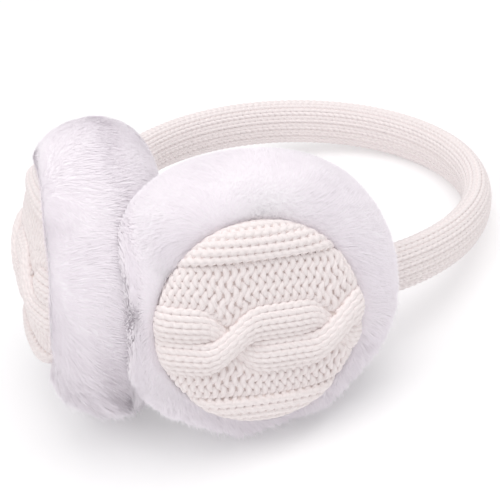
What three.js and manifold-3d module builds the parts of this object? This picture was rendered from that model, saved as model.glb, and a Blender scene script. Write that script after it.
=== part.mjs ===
// Earmuffs at rest on a table: a knitted, padded headband sprung into a ring, with a plush pad at each end.
// Each pad is a thick disc of deep-pile plush with a cable-knit dome set in its outer face.
// Units are millimetres, +Z is up, the crown of the headband points along +Y and the wearer's right is +X.
// The headband lies almost level: its crown and the trodden-down pile under both pads touch the table.
import * as THREE from "three";
import { mergeVertices } from "three/addons/utils/BufferGeometryUtils.js";
import Module from "manifold-3d";

const wasm = await Module();
wasm.setup();

// Headband: an oval knitted tube, flat when laid, that turns less sharply towards the pads.
const BAND_WIDTH = 18.8;
const BAND_THICKNESS = 11.6;
const BAND_HALF_LENGTH = 176;
const CROWN_RADIUS = 68;
const BAND_END_RADIUS = 91;
const BAND_SECTION_SIDES = 12;
const BAND_STEPS = 70;
const CENTRELINE_STEPS = 88;

// Pad: local X points to the headband, Y across the headband's width and Z out of the knit dome.
const PAD_REACH_PAST_BAND = 27;
const PAD_LIFT = 1.5;
const PAD_TILT = THREE.MathUtils.degToRad(5.8);
const PLUSH_RADIUS = 50.4;
const PLUSH_ROLL = 15;
const PLUSH_EAR_FACE = -10.8;
const PLUSH_FRONT_FACE = 26.2;
const EAR_HOLLOW_DEPTH = 3;
const SEAT_FLOOR = 14;
const PLUSH_SEGMENTS = 60;

// The pile at each eighth of a turn from the headband towards the top: how far it reaches from the pad's
// centre, how far its front crest stands proud beside the dome and how far its ear side is drawn in.
const PILE = {
  right: [
    { reach: 52.2, crest: 0, tuck: 0 },
    { reach: 53.8, crest: 0, tuck: 0 },
    { reach: 51.6, crest: 0, tuck: 0 },
    { reach: 52.8, crest: 0, tuck: 0 },
    { reach: 49.9, crest: 0, tuck: 0 },
    { reach: 47.5, crest: -1.2, tuck: 0 },
    { reach: 45.0, crest: -2.4, tuck: 0 },
    { reach: 47.8, crest: -1.2, tuck: 0 },
  ],
  left: [
    { reach: 53.0, crest: 0, tuck: 0 },
    { reach: 51.2, crest: -0.3, tuck: 0 },
    { reach: 48.9, crest: 6, tuck: 0.6 },
    { reach: 48.4, crest: 6.8, tuck: 1.5 },
    { reach: 53.4, crest: 6, tuck: 0 },
    { reach: 55.2, crest: 2.5, tuck: 0 },
    { reach: 52.8, crest: -3, tuck: 0 },
    { reach: 51.4, crest: -1, tuck: 0 },
  ],
};

// The pads press together: the right one's rim is flattened, and the left one bulges a little past it.
const FLATTENED_SIDE = 39.3;

// Pile locks: rounded tufts in staggered rows, combed from the dome over the rim to the ear side.
const LOCKS_ROUND = 15;
const LOCK_ROWS = 6;
const STEPS_A_LOCK = 4;
const LOCK_RELIEF = 2.6;
const LOCK_ROOT_HEIGHT = 0.3;
const LOCK_MEAN_HEIGHT = 0.5;
const EAR_FACE_SMOOTH = { from: 10, to: 34 };

// Knit dome.
const DOME_RADIUS = 34.4;
const DOME_FOOT_RADIUS = 32.6;
const DOME_SHOULDER = 26.4;
const DOME_CROWN = 34.6;
const RELIEF_RADIUS = 30.5;
const DOME_RINGS = 15;
const DOME_SEGMENTS = 56;

// Knit across the dome: a rib along each edge, the cable in the middle and sunken purl stitches between.
const UPPER_RIB_EDGE = 23;
const LOWER_RIB_EDGE = -24.5;
const RIB_RISE = 1;
const PURL_RISE = -1.2;
const CABLE_RISE = 0.6;
const STEP_HALF_WIDTH = 2;

// Cable: two strands that swap places at each crossing, the front one rising from the lower side.
const CABLE_MIDDLE = -3.5;
const CABLE_CROSSINGS = [-42, -7.5, 27];
const CROSSING_LENGTH = 12;
const SWAP_STEEPNESS = 1.6;
const CABLE_WAIST = 4.5;
const STRAND_OFFSET = 6.2;
const STRAND_HALF_WIDTH = 6.6;
const STRAND_PUFF = 2.2;
const FRONT_STRAND_RISE = 1.4;

// Lie of the whole thing.
const LIE_TILT = THREE.MathUtils.degToRad(12.6);
const LIE_ROLL = THREE.MathUtils.degToRad(5.5);
const PART_GAP = 0.3;
const FAR = 400;

const KNIT_YARN = { color: 0xf0e4dc, roughness: 0.9, metalness: 0 };
const PLUSH_PILE = { color: 0xf1ecf0, roughness: 0.95, metalness: 0 };

// ---- solids ----

function solidOf(geometry, matrix = new THREE.Matrix4()) {
  const bare = new THREE.BufferGeometry();
  bare.setAttribute("position", geometry.getAttribute("position").clone());
  bare.setIndex(geometry.index);
  bare.applyMatrix4(matrix);
  const merged = mergeVertices(bare, 1e-3);
  const corners = merged.index.array;
  const faces = [];
  for (let i = 0; i < corners.length; i += 3) {
    const [a, b, c] = [corners[i], corners[i + 1], corners[i + 2]];
    if (a !== b && b !== c && c !== a) faces.push(a, b, c);
  }
  return new wasm.Manifold(
    new wasm.Mesh({
      numProp: 3,
      vertProperties: merged.getAttribute("position").array,
      triVerts: new Uint32Array(faces),
    }),
  );
}

function geometryOf(solid) {
  const mesh = solid.getMesh();
  const geometry = new THREE.BufferGeometry();
  geometry.setAttribute("position", new THREE.BufferAttribute(new Float32Array(mesh.vertProperties), 3));
  geometry.setIndex(new THREE.BufferAttribute(new Uint32Array(mesh.triVerts), 1));
  geometry.computeVertexNormals();
  return geometry;
}

// Turns a lathed body so that its axis is Z, and moves each vertex by what reshape returns.
function latheAlongZ(profile, segments, reshape) {
  const geometry = new THREE.LatheGeometry(profile, segments).rotateX(Math.PI / 2);
  const position = geometry.getAttribute("position");
  const point = new THREE.Vector3();
  for (let i = 0; i < position.count; i++) {
    point.fromBufferAttribute(position, i);
    const ring = i % profile.length;
    reshape(point, ring);
    position.setXYZ(i, point.x, point.y, point.z);
  }
  return geometry;
}

// ---- headband ----

// Centreline of the right half, from the crown at the origin to its end, with the heading there.
function bandHalf() {
  const crownBend = 1 / CROWN_RADIUS;
  const bendChange = 1 / BAND_END_RADIUS - crownBend;
  const step = BAND_HALF_LENGTH / CENTRELINE_STEPS;
  const headingAt = (angle) => new THREE.Vector3(Math.cos(angle), -Math.sin(angle), 0);
  const points = [new THREE.Vector3()];
  let turned = 0;
  for (let i = 0; i < CENTRELINE_STEPS; i++) {
    const along = (i + 0.5) / CENTRELINE_STEPS;
    const turn = (crownBend + bendChange * along * along) * step;
    points.push(points[i].clone().addScaledVector(headingAt(turned + turn / 2), step));
    turned += turn;
  }
  return { points, heading: headingAt(turned) };
}

// The whole headband, or the room that it needs, with clearance on its sides and ends.
function bandTube(half, clearance) {
  const right = half.points.slice();
  right.push(right.pop().clone().addScaledVector(half.heading, clearance));
  const left = right.slice(1).map((p) => new THREE.Vector3(-p.x, p.y, p.z));
  const path = new THREE.CatmullRomCurve3([...left.reverse(), ...right]);
  const section = new THREE.Shape();
  const acrossWidth = BAND_WIDTH / 2 + clearance;
  const acrossThickness = BAND_THICKNESS / 2 + clearance;
  section.absellipse(0, 0, acrossWidth, acrossThickness, 0, 2 * Math.PI, false, 0);
  return new THREE.ExtrudeGeometry(section, {
    steps: BAND_STEPS,
    curveSegments: BAND_SECTION_SIDES / 2,
    extrudePath: path,
  });
}

// ---- plush pad ----

// The pile at an angle in radians, eased from row to row of its table.
function pileAt(angle, side) {
  const rows = PILE[side];
  const turns = THREE.MathUtils.euclideanModulo(angle / (2 * Math.PI), 1) * rows.length;
  const row = rows[Math.floor(turns) % rows.length];
  const next = rows[(Math.floor(turns) + 1) % rows.length];
  const ease = THREE.MathUtils.smoothstep(turns - Math.floor(turns), 0, 1);
  const between = (key) => THREE.MathUtils.lerp(row[key], next[key], ease);
  return { reach: between("reach"), crest: between("crest"), tuck: between("tuck") };
}

// Outline of the pad's section: the pile from the ear face over the rim to the dome's edge, then its seat.
function plushProfile() {
  const middle = (PLUSH_FRONT_FACE + PLUSH_EAR_FACE) / 2;
  const halfDepth = (PLUSH_FRONT_FACE - PLUSH_EAR_FACE) / 2;
  const rollCentre = PLUSH_RADIUS - PLUSH_ROLL;
  const earFace = new THREE.QuadraticBezierCurve(
    new THREE.Vector2(0, PLUSH_EAR_FACE + EAR_HOLLOW_DEPTH),
    new THREE.Vector2(rollCentre / 2, PLUSH_EAR_FACE),
    new THREE.Vector2(rollCentre, PLUSH_EAR_FACE),
  );
  const quarter = Math.PI / 2;
  const roll = new THREE.EllipseCurve(rollCentre, middle, PLUSH_ROLL, halfDepth, -quarter, quarter, false);
  const pile = new THREE.CurvePath();
  pile.add(earFace);
  pile.add(roll);
  const seatRadius = DOME_RADIUS + PART_GAP;
  const seat = [
    new THREE.Vector2(seatRadius, PLUSH_FRONT_FACE - PART_GAP),
    new THREE.Vector2(seatRadius, SEAT_FLOOR),
    new THREE.Vector2(0, SEAT_FLOOR),
  ];
  const domeEdge = LOCK_ROWS * STEPS_A_LOCK;
  const outer = [];
  for (let i = 0; i <= domeEdge; i++) outer.push(pile.getPointAt(i / domeEdge));
  return { points: [...outer, ...seat], domeEdge, rollCentre };
}

// Height of the locks where the pile has run `run` lock lengths from the dome's edge.
function lockHeight(run, angle) {
  const row = Math.floor(run);
  const across = THREE.MathUtils.euclideanModulo((angle * LOCKS_ROUND) / (2 * Math.PI) + (row % 2) / 2, 1);
  const crest = 1 - (2 * across - 1) ** 2;
  const towardsTip = run - row;
  const height = THREE.MathUtils.lerp(LOCK_ROOT_HEIGHT, 1, towardsTip);
  return LOCK_RELIEF * (crest * height - LOCK_MEAN_HEIGHT);
}

function plushBody(side) {
  const { points, domeEdge, rollCentre } = plushProfile();
  const middle = (PLUSH_FRONT_FACE + PLUSH_EAR_FACE) / 2;
  const halfDepth = PLUSH_FRONT_FACE - middle;
  const smooth = EAR_FACE_SMOOTH;
  const seatRadius = DOME_RADIUS + PART_GAP;
  return latheAlongZ(points, PLUSH_SEGMENTS, (p, ring) => {
    if (ring === 0 || ring > domeEdge + 1) return;
    const angle = Math.atan2(p.y, p.x);
    const pile = pileAt(angle, side);
    const depth = p.z;
    if (ring < domeEdge) {
      const radius = Math.hypot(p.x, p.y);
      const overRoll = Math.max(0, radius - rollCentre) / PLUSH_ROLL;
      const outward = new THREE.Vector2(overRoll, (depth - middle) / halfDepth).normalize();
      const height = lockHeight((domeEdge - ring) / STEPS_A_LOCK, angle);
      const lift = height * THREE.MathUtils.smoothstep(radius, smooth.from, smooth.to);
      const atFront = depth > middle;
      const share = atFront ? (radius - seatRadius) / (PLUSH_RADIUS - seatRadius) : radius / PLUSH_RADIUS;
      const newRadius = radius + share * (pile.reach - PLUSH_RADIUS) + outward.x * lift;
      p.x *= newRadius / radius;
      p.y *= newRadius / radius;
      p.z += outward.y * lift;
    }
    p.z += pile.crest * THREE.MathUtils.smoothstep(depth, middle, PLUSH_FRONT_FACE);
    p.z += pile.tuck * (1 - THREE.MathUtils.smoothstep(depth, PLUSH_EAR_FACE, middle));
  });
}

// ---- knit dome ----

// How far x is past the nearest crossing, in crossing lengths, and how near it is, from 0 to 1.
function crossingAt(x) {
  const nearest = CABLE_CROSSINGS.reduce((a, b) => (Math.abs(b - x) < Math.abs(a - x) ? b : a));
  const along = (x - nearest) / CROSSING_LENGTH;
  return { along, nearness: Math.exp(-along * along) };
}

function cableHalfWidth(x) {
  return STRAND_OFFSET + STRAND_HALF_WIDTH - CABLE_WAIST * crossingAt(x).nearness;
}

function stepUp(past) {
  return THREE.MathUtils.smoothstep(past, -STEP_HALF_WIDTH, STEP_HALF_WIDTH);
}

// Rise of the knit over the plain dome at a point of its face.
function knitRise(x, y) {
  const rib = stepUp(y - UPPER_RIB_EDGE) + stepUp(LOWER_RIB_EDGE - y);
  const cable = stepUp(cableHalfWidth(x) - Math.abs(y - CABLE_MIDDLE));
  let rise = PURL_RISE + rib * (RIB_RISE - PURL_RISE) + cable * (CABLE_RISE - PURL_RISE);
  const { along, nearness } = crossingAt(x);
  const swap = Math.tanh(SWAP_STEEPNESS * along);
  for (const strand of [-1, 1]) {
    const centre = CABLE_MIDDLE + strand * swap * STRAND_OFFSET;
    const puff = STRAND_PUFF + strand * FRONT_STRAND_RISE * nearness;
    const across = THREE.MathUtils.clamp((y - centre) / STRAND_HALF_WIDTH, -1, 1);
    rise = Math.max(rise, CABLE_RISE + puff * (1 - across * across) ** 2);
  }
  return rise;
}

// Outline of the dome's section: its flat back, the tucked side, then the crowned face from its shoulder.
function domeProfile() {
  const rise = DOME_CROWN - DOME_SHOULDER;
  const face = new THREE.EllipseCurve(0, DOME_SHOULDER, DOME_RADIUS, rise, 0, Math.PI / 2, false);
  const back = [
    new THREE.Vector2(0, SEAT_FLOOR + PART_GAP),
    new THREE.Vector2(DOME_FOOT_RADIUS, SEAT_FLOOR + PART_GAP),
  ];
  const crowned = [];
  for (let i = 0; i <= DOME_RINGS; i++) crowned.push(face.getPointAt(i / DOME_RINGS));
  crowned.at(-1).x = 0;
  return { points: [...back, ...crowned], shoulder: back.length };
}

function domeBody() {
  const { points, shoulder } = domeProfile();
  return latheAlongZ(points, DOME_SEGMENTS, (p, ring) => {
    if (ring <= shoulder) return;
    const nearRim = THREE.MathUtils.smoothstep(Math.hypot(p.x, p.y), RELIEF_RADIUS, DOME_RADIUS);
    p.z += knitRise(p.x, p.y) * (1 - nearRim);
  });
}

// ---- assembly ----

function named(name, geometry, finish) {
  const mesh = new THREE.Mesh(geometry, new THREE.MeshStandardMaterial(finish));
  mesh.name = name;
  return mesh;
}

// An empty group standing at the right pad's centre, turned to the pad's own axes.
function padStand(half) {
  const across = new THREE.Vector3(0, 0, 1);
  const toBand = half.heading.clone().negate();
  const outwards = new THREE.Vector3().crossVectors(toBand, across);
  const stand = new THREE.Group();
  stand.matrix.makeBasis(toBand, across, outwards).multiply(new THREE.Matrix4().makeRotationX(-PAD_TILT));
  stand.matrix.decompose(stand.position, stand.quaternion, stand.scale);
  stand.position.copy(half.points.at(-1)).addScaledVector(half.heading, PAD_REACH_PAST_BAND);
  stand.translateY(PAD_LIFT);
  stand.updateMatrix();
  return stand;
}

// The plush of one pad, less what it gives way to: the headband's end, the other pad and the table.
function cutPlush(side, mirror, stand, half, lie, floor) {
  const block = new THREE.BoxGeometry(FAR, FAR, FAR);
  const flip = new THREE.Matrix4().makeScale(mirror, 1, 1);
  const shifted = (x) => new THREE.Matrix4().makeTranslation(x, 0, 0);
  const acrossMiddle = solidOf(block, shifted(PART_GAP / 2 - FAR / 2));
  const pastFlattened = stand.matrix.clone().multiply(shifted(-FLATTENED_SIDE - FAR / 2));
  let taken = acrossMiddle.add(solidOf(block, pastFlattened));
  if (side === "left") {
    const inRightPad = flip.clone().multiply(stand.matrix);
    inRightPad.multiply(shifted(FAR / 2 - FLATTENED_SIDE - PART_GAP)).multiply(flip);
    taken = acrossMiddle.intersect(solidOf(block, inRightPad));
  }
  const toTable = flip.clone().multiply(lie.matrix.clone().invert());
  toTable.multiply(new THREE.Matrix4().makeTranslation(0, 0, floor - FAR / 2)).multiply(flip);
  const body = solidOf(plushBody(side), stand.matrix)
    .subtract(solidOf(bandTube(half, PART_GAP)))
    .subtract(taken)
    .subtract(solidOf(block, toTable));
  return geometryOf(body).applyMatrix4(stand.matrix.clone().invert());
}

const half = bandHalf();
const headband = bandTube(half, 0);

const earmuffs = new THREE.Group();
const lie = new THREE.Group();
lie.rotation.set(-LIE_TILT, LIE_ROLL, 0);
lie.updateMatrix();
const lyingBand = headband.clone().applyMatrix4(lie.matrix);
lyingBand.computeBoundingBox();
const floor = lyingBand.boundingBox.min.z;

lie.add(named("headband", headband, KNIT_YARN));
for (const [side, mirror] of [["right", 1], ["left", -1]]) {
  const hand = new THREE.Group();
  hand.scale.x = mirror;
  const pad = padStand(half);
  pad.add(named(`plush_pad_${side}`, cutPlush(side, mirror, pad, half, lie, floor), PLUSH_PILE));
  pad.add(named(`knit_dome_${side}`, domeBody(), KNIT_YARN));
  hand.add(pad);
  lie.add(hand);
}
earmuffs.add(lie);
earmuffs.updateMatrixWorld(true);

// The origin is on the table, under the middle of the whole.
const extent = new THREE.Box3().setFromObject(lie, true);
const middle = extent.getCenter(new THREE.Vector3());
lie.position.set(-middle.x, -middle.y, -extent.min.z);

export default earmuffs;
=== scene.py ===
"""Cable-knit earmuffs lying at rest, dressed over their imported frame.

The headband and the two domes are worked in yarn loops, course by course, over padded cores. The pads grow
a deep plush pile from a padded backing. Every length inside a class is in millimetres.
"""

import logging
import math
from dataclasses import dataclass, replace
from enum import Enum
from functools import partial
from typing import Callable, Union

import bpy
import numpy as np
from mathutils import Matrix, Vector
from mathutils.kdtree import KDTree


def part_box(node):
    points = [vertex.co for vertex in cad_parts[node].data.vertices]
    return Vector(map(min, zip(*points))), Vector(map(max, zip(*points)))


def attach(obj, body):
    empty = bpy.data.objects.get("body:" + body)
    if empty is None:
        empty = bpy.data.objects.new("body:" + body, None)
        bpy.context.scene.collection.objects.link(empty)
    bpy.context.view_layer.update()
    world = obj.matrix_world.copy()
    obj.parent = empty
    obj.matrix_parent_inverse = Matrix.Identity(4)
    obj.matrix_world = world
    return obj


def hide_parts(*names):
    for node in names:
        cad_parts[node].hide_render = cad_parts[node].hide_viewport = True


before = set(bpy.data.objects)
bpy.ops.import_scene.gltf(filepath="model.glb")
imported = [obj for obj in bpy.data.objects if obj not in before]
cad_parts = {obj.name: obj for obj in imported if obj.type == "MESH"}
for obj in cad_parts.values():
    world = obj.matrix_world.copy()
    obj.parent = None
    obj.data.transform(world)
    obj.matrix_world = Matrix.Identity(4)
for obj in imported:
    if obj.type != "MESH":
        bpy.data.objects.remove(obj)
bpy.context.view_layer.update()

LOG = logging.getLogger("earmuffs")
MM = 0.001
TAU = 2 * math.pi
BODY = "root"
UP = np.array([0.0, 0.0, 1.0])
SIDEWAYS = np.array([1.0, 0.0, 0.0])

# Texture layouts: the one to bake into, and those that carry yarn and fibre to their materials.
BAKE_LAYOUT = "OFBake"
YARN_LAYOUT = "yarn"
PILE_LAYOUT = "pile"

# Shares of its row in the baking layout that a strand's side takes, and where its ends are read.
STRAND_FILL = 0.9
STRAND_END = 0.95

# Shares of its cell in the baking layout that a blade takes, and how many times as tall as wide a cell is.
BLADE_FILL = (0.9, 0.95)
BLADE_CELL_SHAPE = 4

# Socket numbers of a Mix node that blends colours.
MIX_SHARE, MIX_LOW, MIX_HIGH, MIX_RESULT = 0, 6, 7, 2

# Steps between the seeds of the coats' draws: for the left pad, and for the blades as against their fibres.
LEFT_SEED_STEP = 50
BLADE_SEED_STEP = 7

# How many waves each part of a ripple has over the ripple's given length, at least and at most.
RIPPLE_SPREAD = (0.7, 1.4)

# Shares of a turn between one root and the next, and between one seed's first root and another's.
GOLDEN_SHARE = (math.sqrt(5) - 1) / 2
SEED_TURN = 0.37

Array = np.ndarray
Value = Union["Shade", float, int, tuple]


# ---- numbers and shapes ----


def smooth_step(value: Array, low: float, high: float) -> Array:
    """Ease from 0 at low to 1 at high.

    Args:
        value: Where to read the ease.
        low: The value up to which it is 0.
        high: The value from which it is 1.

    Returns:
        The ease at each value.
    """
    t = np.clip((value - low) / (high - low), 0, 1)
    return t * t * (3 - 2 * t)


def soft_floor(value: Array, floor: float, softness: float) -> Array:
    """Keep values above a floor with a rounded knee instead of a hard stop.

    Args:
        value: Heights before pressing.
        floor: The height that nothing passes.
        softness: How early the press begins.

    Returns:
        The pressed heights.
    """
    return floor + softness * np.logaddexp(0, (value - floor) / softness)


def unit(vectors: Array) -> Array:
    """Scale each row to length 1."""
    return vectors / np.maximum(np.linalg.norm(vectors, axis=-1, keepdims=True), 1e-9)


def rotation(axis: str, angle: float) -> Array:
    """Give the 3 by 3 turn about a named axis."""
    return np.array(Matrix.Rotation(angle, 3, axis))


class Mesher:
    """One mesh in the making: points in millimetres, faces of any size and their texture layouts."""

    def __init__(self) -> None:
        """Start with nothing gathered."""
        self.points: list[Array] = []
        self.faces: list[Array] = []
        self.layouts: dict[str, list[Array]] = {}
        self.normals: list[Array] = []
        self.count = 0

    def add(self, points: Array, faces: list[Array], layouts: dict[str, list[Array]]) -> None:
        """Gather one more shape.

        Args:
            points: Its points, one a row.
            faces: Arrays of point numbers, each with faces of one size.
            layouts: For each layout name, one array of corner places for each array of faces.
        """
        self.points.append(points)
        self.faces.extend(face + self.count for face in faces)
        for name, places in layouts.items():
            self.layouts.setdefault(name, []).extend(places)
        self.count += len(points)

    def finish(self, name: str, material: bpy.types.Material, mirrored: bool) -> bpy.types.Object:
        """Make the mesh object.

        Args:
            name: The piece's name.
            material: Its material.
            mirrored: True when the points were mirrored, so that faces have to be turned over.

        Returns:
            The new object, linked to the scene.
        """
        order = [face[:, ::-1] if mirrored else face for face in self.faces]
        sizes = np.concatenate([np.full(len(face), face.shape[1]) for face in order])
        corners = np.concatenate([face.ravel() for face in order])
        mesh = bpy.data.meshes.new(name)
        mesh.vertices.add(self.count)
        mesh.vertices.foreach_set("co", (np.concatenate(self.points) * MM).astype(np.float32).ravel())
        mesh.loops.add(len(corners))
        mesh.loops.foreach_set("vertex_index", corners.astype(np.int32))
        mesh.polygons.add(len(sizes))
        starts = np.concatenate([[0], np.cumsum(sizes)[:-1]])
        mesh.polygons.foreach_set("loop_start", starts.astype(np.int32))
        mesh.polygons.foreach_set("loop_total", sizes.astype(np.int32))
        mesh.update(calc_edges=True)
        for layout, places in self.layouts.items():
            turned = [place[:, ::-1] if mirrored else place for place in places]
            flat = np.concatenate([place.reshape(-1, 2) for place in turned])
            mesh.uv_layers.new(name=layout).data.foreach_set("uv", flat.astype(np.float32).ravel())
        mesh.shade_smooth()
        if self.normals:
            mesh.normals_split_custom_set_from_vertices(unit(np.concatenate(self.normals)).tolist())
        mesh.materials.append(material)
        piece = bpy.data.objects.new(name, mesh)
        bpy.context.scene.collection.objects.link(piece)
        return piece


def grid_faces(rows: int, columns: int) -> Array:
    """Number the quads of a grid of points stored row by row, whose last column joins the first.

    Args:
        rows: Points along the first direction.
        columns: Points along the second direction.

    Returns:
        The quads, one a row.
    """
    row, column = np.meshgrid(np.arange(rows - 1), np.arange(columns), indexing="ij")
    near, far = row * columns + column, row * columns + (column + 1) % columns
    return np.stack([near, far, far + columns, near + columns], axis=-1).reshape(-1, 4)


def skin_faces(rows: int, columns: int, turned: bool = False) -> list[Array]:
    """Number the faces of a skin that joins round, with a cap over each end.

    Args:
        rows: Rings of points along it.
        columns: Points in each ring.
        turned: True when the faces have to look the other way.

    Returns:
        The quads and the two caps.
    """
    caps = np.array([np.arange(columns)[::-1], np.arange(columns) + (rows - 1) * columns])
    faces = [grid_faces(rows, columns), caps]
    return [face[:, ::-1] for face in faces] if turned else faces


def grid_layout(rows: int, columns: int, low: tuple[float, float], high: tuple[float, float]) -> Array:
    """Lay the quads of a closed grid out flat.

    Args:
        rows: Points along the first direction, laid along U.
        columns: Quads across the second direction, laid along V.
        low: Lower corner of the space to fill.
        high: Upper corner of the space to fill.

    Returns:
        The place of each corner of each quad.
    """
    row, column = np.meshgrid(np.arange(rows - 1), np.arange(columns), indexing="ij")
    corners = [(0, 0), (0, 1), (1, 1), (1, 0)]
    u = np.stack([(row + down) / (rows - 1) for down, _ in corners], axis=-1)
    v = np.stack([(column + over) / columns for _, over in corners], axis=-1)
    places = np.stack([low[0] + u * (high[0] - low[0]), low[1] + v * (high[1] - low[1])], axis=-1)
    return places.reshape(-1, 4, 2)


# ---- shader writing ----


class Shade:
    """A shader socket that can be reckoned with as a number."""

    def __init__(self, sheet: "Sheet", socket: bpy.types.NodeSocket) -> None:
        """Wrap one output socket of a sheet's nodes."""
        self.sheet = sheet
        self.socket = socket

    def _reckon(self, operation: str, *values: Value) -> "Shade":
        """Add one Math node."""
        return self.sheet.node("ShaderNodeMath", {"operation": operation}, dict(enumerate(values)))

    def __add__(self, other: Value) -> "Shade":
        """Add."""
        return self._reckon("ADD", self, other)

    __radd__ = __add__

    def __mul__(self, other: Value) -> "Shade":
        """Multiply."""
        return self._reckon("MULTIPLY", self, other)

    __rmul__ = __mul__

    def __sub__(self, other: Value) -> "Shade":
        """Take away."""
        return self._reckon("SUBTRACT", self, other)

    def __rsub__(self, other: Value) -> "Shade":
        """Take this away from the other."""
        return self._reckon("SUBTRACT", other, self)

    def sine(self) -> "Shade":
        """Give the sine."""
        return self._reckon("SINE", self)

    def power(self, exponent: float) -> "Shade":
        """Raise to a power."""
        return self._reckon("POWER", self, exponent)


class Sheet:
    """A material's node sheet."""

    def __init__(self, name: str) -> None:
        """Start a material with an empty node tree and its output.

        Args:
            name: The material's name.
        """
        self.material = bpy.data.materials.new(name)
        self.material.use_nodes = True
        self.tree = self.material.node_tree
        self.tree.nodes.clear()
        self.output = self.tree.nodes.new("ShaderNodeOutputMaterial")

    def node(self, kind: str, settings: dict, inputs: dict, output: Union[int, str] = 0) -> Shade:
        """Add one node.

        Args:
            kind: The node's type.
            settings: Its own settings, set before its sockets.
            inputs: Values or shades for its sockets, by name or number.
            output: The socket that is handed back.

        Returns:
            The chosen output as a shade.
        """
        made = self.tree.nodes.new(kind)
        for key, value in settings.items():
            setattr(made, key, value)
        for key, value in inputs.items():
            if isinstance(value, Shade):
                self.tree.links.new(value.socket, made.inputs[key])
            else:
                made.inputs[key].default_value = value
        return Shade(self, made.outputs[output])

    def mix(self, share: Value, low: Value, high: Value) -> Shade:
        """Blend two colours.

        Args:
            share: How much of the second colour shows.
            low: The first colour.
            high: The second colour.

        Returns:
            The blended colour.
        """
        inputs = {MIX_SHARE: share, MIX_LOW: low, MIX_HIGH: high}
        return self.node("ShaderNodeMix", {"data_type": "RGBA"}, inputs, output=MIX_RESULT)

    def noise(self, scale: float, detail: float) -> Shade:
        """Give fractal noise over the object, with scale in lumps per metre."""
        place = self.node("ShaderNodeTexCoord", {}, {}, output="Object")
        return self.node("ShaderNodeTexNoise", {}, {"Vector": place, "Scale": scale, "Detail": detail})

    def layout(self, name: str) -> tuple[Shade, Shade]:
        """Give the two coordinates of a named texture layout.

        Args:
            name: The layout's name.

        Returns:
            The places along U and along V.
        """
        place = self.node("ShaderNodeUVMap", {"uv_map": name}, {})
        parts = self.node("ShaderNodeSeparateXYZ", {}, {0: place})
        return parts, Shade(self, parts.socket.node.outputs[1])

    def bump(self, height: Shade, strength: float, depth: float) -> Shade:
        """Turn heights into a bumped normal, with the depth in millimetres."""
        inputs = {"Strength": strength, "Distance": depth * MM, "Height": height}
        return self.node("ShaderNodeBump", {}, inputs)

    def surface(self, inputs: dict) -> bpy.types.Material:
        """Close the sheet with the surface shader.

        Args:
            inputs: Values or shades for the shader's sockets, by name.

        Returns:
            The finished material.
        """
        shader = self.node("ShaderNodeBsdfPrincipled", {}, inputs)
        self.tree.links.new(shader.socket, self.output.inputs["Surface"])
        return self.material


@dataclass(frozen=True)
class YarnFinish:
    """Spun yarn: plies wound round each other, with painted shade in the grooves between the plies, fuzz and
    small changes of tone.
    """

    name: str
    light: tuple = (0.955, 0.89, 0.88, 1)
    deep: tuple = (0.85, 0.775, 0.765, 1)
    ply_pitch: float = 2.6
    plies: int = 3
    ply_roundness: float = 0.7
    ply_groove_shade: float = 0.45
    ply_height: float = 0.6
    fuzz_grain: float = 2600
    fuzz_detail: float = 3
    fuzz_tone: float = 0.35
    fuzz_height: float = 0.7
    patch_grain: float = 60
    patch_detail: float = 2
    patch_tone: float = 0.2
    bump_strength: float = 0.5
    bump_depth: float = 0.18
    roughness: float = 0.92
    sheen: float = 0.15

    def material(self) -> bpy.types.Material:
        """Write the material.

        Returns:
            The yarn material, which reads the yarn layout in millimetres along and turns round.
        """
        sheet = Sheet(self.name)
        along, around = sheet.layout(YARN_LAYOUT)
        wave = (around * (TAU * self.plies) + along * (TAU / self.ply_pitch)).sine()
        plies = wave * 0.5 + 0.5
        fuzz = sheet.noise(self.fuzz_grain, self.fuzz_detail)
        patches = sheet.noise(self.patch_grain, self.patch_detail)
        # Painted shade: the colour runs to the deep colour in the grooves between plies; fuzz and patches add
        # random tone.
        tone = plies.power(self.ply_roundness) * self.ply_groove_shade + fuzz * self.fuzz_tone
        tone = tone + patches * self.patch_tone
        height = plies * self.ply_height + fuzz * self.fuzz_height
        return sheet.surface(
            {
                "Base Color": sheet.mix(tone, self.deep, self.light),
                "Normal": sheet.bump(height, self.bump_strength, self.bump_depth),
                "Roughness": self.roughness,
                "Sheen Weight": self.sheen,
            }
        )


@dataclass(frozen=True)
class PileFinish:
    """Plush fibres: pale tips, painted shade at the roots, a duller tone for some fibres that also paints
    shade low down, and a faint painted glow.
    """

    name: str
    tip: tuple = (0.95, 0.91, 0.953, 1)
    # Painted shade: roots darker and warmer than the tips, where shade falls deep in the pile.
    root: tuple = (0.935, 0.885, 0.915, 1)
    # Dull colour: random dull fibres, and painted shade where the pile is loose low down.
    dull_and_shade: tuple = (0.80, 0.75, 0.80, 1)
    tip_spread: float = 0.8
    # Painted light: a faint glow that lightens the pile's shade; the plush gives no light of its own.
    glow: tuple = (1.0, 0.95, 1.0, 1)
    glow_strength: float = 0.04
    roughness: float = 0.85
    sheen: float = 0.2

    def material(self) -> bpy.types.Material:
        """Write the material.

        Returns:
            The pile material, which reads the pile layout: dullness and painted shade across, and root to tip
            along.
        """
        sheet = Sheet(self.name)
        dullness_and_shade, along = sheet.layout(PILE_LAYOUT)
        body = sheet.mix(along.power(self.tip_spread), self.root, self.tip)
        return sheet.surface(
            {
                "Base Color": sheet.mix(1 - dullness_and_shade, self.dull_and_shade, body),
                "Roughness": self.roughness,
                "Sheen Weight": self.sheen,
                "Emission Color": self.glow,
                "Emission Strength": self.glow_strength,
            }
        )


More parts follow.
